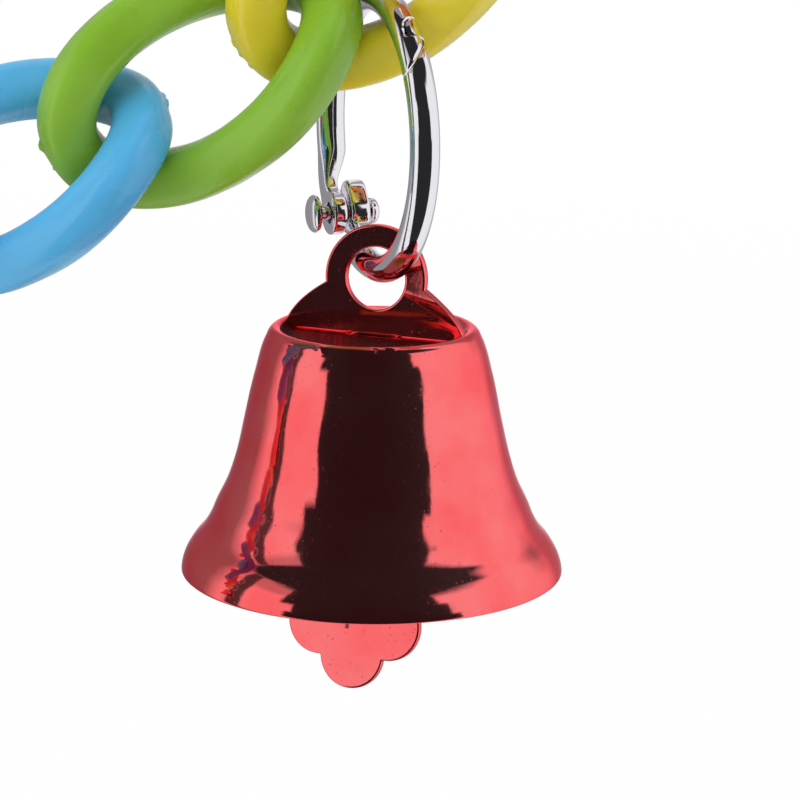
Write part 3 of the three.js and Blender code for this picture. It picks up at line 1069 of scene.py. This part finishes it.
    def trefoil_edge(self, middle: Array) -> Array:
        """The trefoil's outline: how far a ray from its middle runs inside one of three circles.

        Args:
            middle: Where the rays start, as x and height.

        Returns:
            Points as x and height, shape (n, 2).
        """
        rays = polar(full_turn(300))
        lobes = np.array([[-self.lobe_spread, -self.side_lobe_drop],
                          [self.lobe_spread, -self.side_lobe_drop], [0, -self.low_lobe_drop]])
        away = lobes - middle
        forward = rays @ away.T
        aside = (away**2).sum(axis=1) - forward**2
        room = self.lobe_radius**2 - aside
        reach = np.where(room > 0, forward + np.sqrt(np.maximum(room, 0)), 0).max(axis=1)
        smooth = (reach + np.roll(reach, 1) + np.roll(reach, -1)) / 3
        return middle + rays * smooth[:, None]

    def clapper(self) -> Skin:
        """The flat trefoil, its stem, and the strip at its top curled round the tongue's bar.

        Stamping left the trefoil turned a little on its stem: y falls in proportion to x.

        Returns:
            The clapper's closed shells.
        """
        middle = np.array([0, -self.side_lobe_drop - 0.6])
        trefoil = disc_plate(self.trefoil_edge(middle), middle, self.clapper_half, 0.16)
        trefoil[..., 1] -= self.clapper_warp * trefoil[..., 0]
        top = self.curl_height - self.curl_radius
        rise = np.linspace(0, 1, 40)
        down = np.stack([0 * rise, 0 * rise, top + (middle[1] - top) * rise], 1)
        widens = smooth_step(rise, 0, 0.12)
        half = self.curl_half_width + (self.stem_half - self.curl_half_width) * widens
        x, y = np.eye(3)[:2]
        section = (self.strip_half, self.strip_exponent, self.strip_columns)
        stem = swept(down, x, y, half, *section)
        turn = -math.pi / 2 + np.linspace(0, self.curl_turn, 60)
        out = np.stack([0 * turn, np.cos(turn), np.sin(turn)], 1)
        path = np.array([0, 0, self.curl_height]) + out * self.curl_radius
        curl = swept(path, x, out, self.curl_half_width, *section)
        return Skin().add_tube(trefoil).add_tube(stem).add_tube(curl)


@dataclass(frozen=True)
class BellHang:
    """How one bell set hangs: its ring's middle comes from the box of the frame's bell shell."""

    ring: HingedRing
    bell: Bell
    facing: float = 21.0
    turn: float = 45.5
    hanger_facing: float = -22.0
    hole_play: float = 0.5

    def ring_place(self, centre: Array) -> Array:
        """The ring's place, with its near side to the right."""
        return self.ring.place(centre, self.facing - 90, self.turn, False)

    def bell_place(self, centre: Array) -> Array:
        """The bell's place: its lip's plane lies under the ring, whose wire fills the hanger's hole."""
        drop = self.bell.eye_height + self.bell.eye_hole - self.ring.wire - self.hole_play
        lip = -self.ring.radius - drop - self.bell.crown_gap - self.bell.height
        return shift(*centre) @ shift(0, 0, lip) @ turned(self.hanger_facing, X, Y)


class Swing:
    """The whole object: builds each sub-assembly and ties it to the frame's bodies."""

    def __init__(self) -> None:
        """Makes the finishes and the plans that the sub-assemblies share."""
        self.chain = ChainPlan()
        self.moulding = LinkMoulding(self.chain)
        self.ring = HingedRing()
        self.bell = Bell()
        self.hang = BellHang(self.ring, self.bell)
        self.nickel = MirrorPlating("nickel_plate", (232, 229, 234), (235, 235, 240),
                                    (0.04, 0.12), 0.03, 0.0).material()
        self.red = MirrorPlating("red_plate", (252, 95, 98), (250, 170, 185),
                                 (0.05, 0.13), 0.03, 0.6).material()
        self.plastics = {colour: MouldedPlastic(colour).material() for colour in LinkColour}

    def tie(self, piece: bpy.types.Object, node: str, body: str) -> None:
        """Ties a piece to the frame.

        Args:
            piece: The finished piece.
            node: The node that it stands for.
            body: The body that it rides on.
        """
        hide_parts(node)
        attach(piece, body)
        low, high = (np.array(v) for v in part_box(node))
        corners = np.array([piece.matrix_world @ Vector(c) for c in piece.bound_box])
        off = max(np.abs(corners.min(axis=0) - low).max(), np.abs(corners.max(axis=0) - high).max())
        LOG.info("%s: %d faces, corners within %.2f mm of its node's", piece.name,
                 len(piece.data.polygons), off / METRES)

    def node_middle(self, node: str) -> Array:
        """The middle of a node's box, in millimetres."""
        low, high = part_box(node)
        return (np.array(low) + np.array(high)) / 2 / METRES

    def build_links(self) -> None:
        """Makes the twelve links from the middle outwards on both sides."""
        ring_bottom = self.chain.end_ring_bottom(self.ring.wire)
        drop = ring_bottom[1] + 2 * self.ring.radius - self.ring.wire
        colours = list(LinkColour)
        each_side = self.chain.each_side
        for side in Side:
            for count in range(each_side):
                number = each_side - count if side is Side.LEFT else each_side + 1 + count
                is_last = count == each_side - 1
                node = f"link_{number:02d}"
                colour = colours[(number - 1) % len(colours)]
                skin = self.moulding.skin(number, side.value if is_last else 0)
                place = self.chain.place(side, count, drop)
                piece = skin.piece(f"{node}_moulding", place, self.plastics[colour])
                self.tie(piece, node, "bridge" if is_last else node)

    def build_ring(self, place: Array, prefix: str, nodes: tuple[str, str, str],
                   bodies: tuple[str, str, str]) -> None:
        """Makes one hinged ring.

        Args:
            place: The ring's frame.
            prefix: Start of the pieces' names.
            nodes: The nodes of the tab's wire, the hook's wire and the rivet.
            bodies: The bodies that these ride on.
        """
        skins = (self.ring.upper_half(), self.ring.lower_half(), self.ring.rivet())
        words = ("tab_wire", "hook_wire", "pin")
        for skin, word, node, body in zip(skins, words, nodes, bodies):
            piece = skin.piece(f"{prefix}_{word}", place, self.nickel)
            self.tie(piece, node, body)

    def build_end_rings(self) -> None:
        """Makes the ring at each end of the bridge."""
        x = self.chain.end_ring_bottom(self.ring.wire)[0]
        for side in Side:
            name = f"{side.word}_end_ring"
            centre = np.array([side.value * x, 0, self.ring.wire - self.ring.radius])
            place = self.ring.place(centre, -90, -30, True)
            nodes = (f"{name}_frame_half", f"{name}_gate_half", f"{name}_rivet")
            self.build_ring(place, name, nodes, ("end_rings", f"{side.word}_gate", "end_rings"))

    def build_bells(self) -> None:
        """Makes each bell's ring, shell, hanger and clapper."""
        for side in Side:
            word = side.word
            shell_middle = self.node_middle(f"{word}_bell_shell")
            shell_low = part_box(f"{word}_bell_shell")[0][2] / METRES
            bare = self.hang.bell_place(np.zeros(3))[2, 3]
            centre = np.array([*shell_middle[:2], shell_low - bare])
            nodes = tuple(f"{word}_bell_ring_{part}" for part in ("upper_half", "lower_half", "rivet"))
            bodies = (f"{word}_ring_upper", f"{word}_ring_lower", f"{word}_ring_upper")
            self.build_ring(self.hang.ring_place(centre), f"{word}_bell_ring", nodes, bodies)
            place = self.hang.bell_place(centre)
            bell = self.bell
            for part, skin, stands, body in (
                ("shell", bell.shell(), place, "bell"),
                ("hanger", bell.hanger(), place, "bell"),
                ("clapper", bell.clapper(), place @ bell.clapper_stance(), "clapper"),
            ):
                piece = skin.piece(f"{word}_{part}_plated", stands, self.red)
                self.tie(piece, f"{word}_bell_{part}", f"{word}_{body}")


class Studio:
    """The white tent round the object: floor, sky, lamps and the photograph's camera.

    Mirrors show the tent: its dark front, where the camera stands, its dark top, a dark slit at
    the far left and the dusk beyond it. The camera itself sees plain white.
    """

    floor_drop = 45.0
    floor_half = 4000.0
    camera_tilt = math.radians(13.5)
    camera_roll = math.radians(0.7)
    camera_distance = 310.0
    look_over_lip = (2.63, 17.1)
    lens = 142.3
    tent_middle = (86.7, 0.7, -90.0)
    lamps = (
        ("overhead", (0.05, -0.12, 0.34), 0.34, 0.7),
        ("left_front", (-0.28, -0.3, 0.12), 0.24, 0.35),
    )
    front_dimming = 0.46
    front_areas = (
        ((-46.5, 49, 0.8), (-6, 24, 2), 1.0),
        ((-51, 54, 1), (-88, 2, 2), 1.0),
        ((-56, 44, 1.5), (18, 100, 2), 1.0),
    )
    other_areas = (
        ((-122, 94, 5), (40, 100, 3), 1.0),
        ((-94, -83, 1), (-60, 44, 4), 0.94),
        ((-168, -109, 7), (-70, 100, 8), 0.68),
        ((128, 168, 7), (10, 100, 8), 0.62),
        ((138, 168, 7), (-70, 20, 8), 0.5),
        ((-110, -50, 4), (31, 100, 3), 0.4),
    )

    def band(self, sheet: NodeSheet, angle: Socket, start: float, end: float,
             soft: float) -> Socket:
        """A band of directions: 1 between two angles and 0 outside, with soft edges.

        Args:
            sheet: The node tree.
            angle: The direction's angle.
            start: The band's first angle in degrees.
            end: Its last one.
            soft: Half the width of its edges.

        Returns:
            The band's share.
        """
        up = sheet.spread(angle, 0.0, 1.0, math.radians(start - soft), math.radians(start + soft))
        down = sheet.spread(angle, 1.0, 0.0, math.radians(end - soft), math.radians(end + soft))
        return sheet.times(up, down)

    def patch(self, sheet: NodeSheet, angles: tuple[Socket, Socket],
              area: tuple[tuple[float, ...], tuple[float, ...], float]) -> Socket:
        """A dark patch of the tent.

        Args:
            sheet: The node tree.
            angles: The direction's angle round Z and its height.
            area: Its two angles round Z and their softness, its two heights and their softness,
                all in degrees, and how dark it is, up to 1.

        Returns:
            The darkness.
        """
        across, upright, depth = area
        both = sheet.times(self.band(sheet, angles[0], *across), self.band(sheet, angles[1], *upright))
        return sheet.times(both, depth)

    def tent(self, sheet: NodeSheet, way: Socket) -> tuple[Socket, Socket]:
        """The tent's darkness in a direction.

        Args:
            sheet: The node tree.
            way: The direction.

        Returns:
            The darkness of the front alone and of all the patches.
        """
        x, y, z = sheet.add("ShaderNodeSeparateXYZ", inputs={0: way}).outputs
        round_z = sheet.math("ARCTAN2", x, sheet.times(y, -1.0))
        flat = sheet.math("SQRT", sheet.math("ADD", sheet.times(x, x), sheet.times(y, y)))
        angles = (round_z, sheet.math("ARCTAN2", z, flat))
        front = 0.0
        for area in self.front_areas:
            front = sheet.most(front, self.patch(sheet, angles, area))
        dark = front
        for area in self.other_areas:
            dark = sheet.most(dark, self.patch(sheet, angles, area))
        return front, dark

    def floor(self, low: float) -> None:
        """Lays the pale floor under the object.

        To the camera it is white and keeps a faint shadow, which fades out away from the object.
        Mirrors see the tent's dark front on it.

        Args:
            low: The object's lowest point in millimetres.
        """
        z = low - self.floor_drop
        edge = self.floor_half
        mesh = bpy.data.meshes.new("floor")
        corners = [(-edge, -edge, z), (edge, -edge, z), (edge, edge, z), (-edge, edge, z)]
        mesh.from_pydata((np.array(corners) * METRES).tolist(), [], [(0, 1, 2, 3)])
        made = bpy.data.materials.new("pale_floor")
        sheet = NodeSheet(made)
        path = sheet.add("ShaderNodeLightPath").outputs
        place = sheet.add("ShaderNodeTexCoord").outputs["Object"]
        middle = tuple(v * METRES for v in self.tent_middle)
        way = sheet.add("ShaderNodeVectorMath", {"operation": "SUBTRACT"}, {0: place, 1: middle})
        dark = sheet.times(self.tent(sheet, way.outputs[0])[1], path["Is Glossy Ray"])
        away = sheet.add("ShaderNodeVectorMath", {"operation": "LENGTH"}, {0: place}).outputs[1]
        plain = sheet.times(path["Is Camera Ray"], sheet.spread(away, 0.9, 1.0, 0.2, 0.6))
        mirrored = sheet.most(path["Is Glossy Ray"], path["Is Transmission Ray"])
        matt = sheet.add("ShaderNodeBsdfDiffuse", inputs={"Color": (0.9, 0.9, 0.9, 1)})
        cloth = sheet.tint(dark, WHITE, DARK_CLOTH)
        glow = sheet.add("ShaderNodeEmission", inputs={"Color": cloth, "Strength": 1.0})
        mix = sheet.add("ShaderNodeMixShader", inputs={
            0: sheet.most(plain, mirrored), 1: matt.outputs[0], 2: glow.outputs[0]})
        sheet.add("ShaderNodeOutputMaterial", inputs={"Surface": mix.outputs[0]})
        mesh.materials.append(made)
        piece = bpy.data.objects.new("floor", mesh)
        bpy.context.scene.collection.objects.link(piece)
        piece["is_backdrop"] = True

    def sky(self) -> None:
        """Hangs the tent: white to the camera, with its dark patches in mirrors.

        As a light it is a little dimmer towards the front.
        """
        world = bpy.data.worlds.new("tent")
        bpy.context.scene.world = world
        sheet = NodeSheet(world)
        front, dark = self.tent(sheet, sheet.add("ShaderNodeTexCoord").outputs["Generated"])
        path = sheet.add("ShaderNodeLightPath").outputs
        matt = path["Is Diffuse Ray"]
        lit = sheet.times(sheet.times(front, self.front_dimming), matt)
        shown = sheet.times(dark, sheet.math("SUBTRACT", 1.0, matt))
        unseen = sheet.math("SUBTRACT", 1.0, path["Is Camera Ray"])
        share = sheet.times(sheet.math("ADD", lit, shown), unseen)
        colour = sheet.tint(share, WHITE, DARK_CLOTH)
        back = sheet.add("ShaderNodeBackground", inputs={"Color": colour, "Strength": 1.0})
        sheet.add("ShaderNodeOutputWorld", inputs={"Surface": back.outputs[0]})

    def lamp(self, name: str, place: tuple[float, float, float], size: float, power: float,
             aim: Vector) -> None:
        """Hangs one square soft lamp.

        Args:
            name: Its name.
            place: Where it hangs, in metres.
            size: Its side in metres.
            power: Its power in watts.
            aim: The point that it faces.
        """
        light = bpy.data.lights.new(name, "AREA")
        light.size = size
        light.energy = power
        holder = bpy.data.objects.new(name, light)
        holder.visible_glossy = False
        holder.location = place
        holder.rotation_euler = (aim - Vector(place)).to_track_quat("-Z", "Y").to_euler()
        bpy.context.scene.collection.objects.link(holder)

    def camera(self, lip: Array) -> None:
        """Sets the camera as in the photograph, which looks at the right-hand bell from a little above.

        Args:
            lip: Middle of the bell's lip plane in millimetres.
        """
        data = bpy.data.cameras.new("camera")
        data.lens = self.lens
        data.sensor_width = 36.0
        data.clip_start = 0.01
        holder = bpy.data.objects.new("camera", data)
        look = Vector((lip[0] + self.look_over_lip[0], lip[1], lip[2] + self.look_over_lip[1]))
        back = Vector((0, -math.cos(self.camera_tilt), math.sin(self.camera_tilt)))
        holder.location = (look + back * self.camera_distance) * METRES
        level = (-back).to_track_quat("-Z", "Y")
        holder.rotation_euler = (level @ Quaternion((0, 0, 1), self.camera_roll)).to_euler()
        bpy.context.scene.collection.objects.link(holder)
        bpy.context.scene.camera = holder


def plain_corners() -> list[list[float]]:
    """The shown object's lowest and highest corner as plain lists."""
    return [[float(v) for v in corner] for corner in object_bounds()]


def main() -> None:
    """Loads the frame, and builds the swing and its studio."""
    logging.basicConfig(level=logging.INFO, format="%(message)s")
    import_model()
    cad = plain_corners()
    bpy.context.scene.view_settings.view_transform = "Standard"
    swing = Swing()
    swing.build_links()
    swing.build_end_rings()
    swing.build_bells()
    low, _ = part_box("right_bell_shell")
    middle = swing.node_middle("right_bell_shell")
    studio = Studio()
    studio.floor(cad[0][2] / METRES)
    studio.sky()
    aim = Vector(middle.tolist()) * METRES
    for lamp in studio.lamps:
        studio.lamp(*lamp, aim)
    studio.camera(np.array([middle[0], middle[1], low[2] / METRES]))
    LOG.info("boxes: %s and %s", cad, plain_corners())


if __name__ == "__main__":
    main()
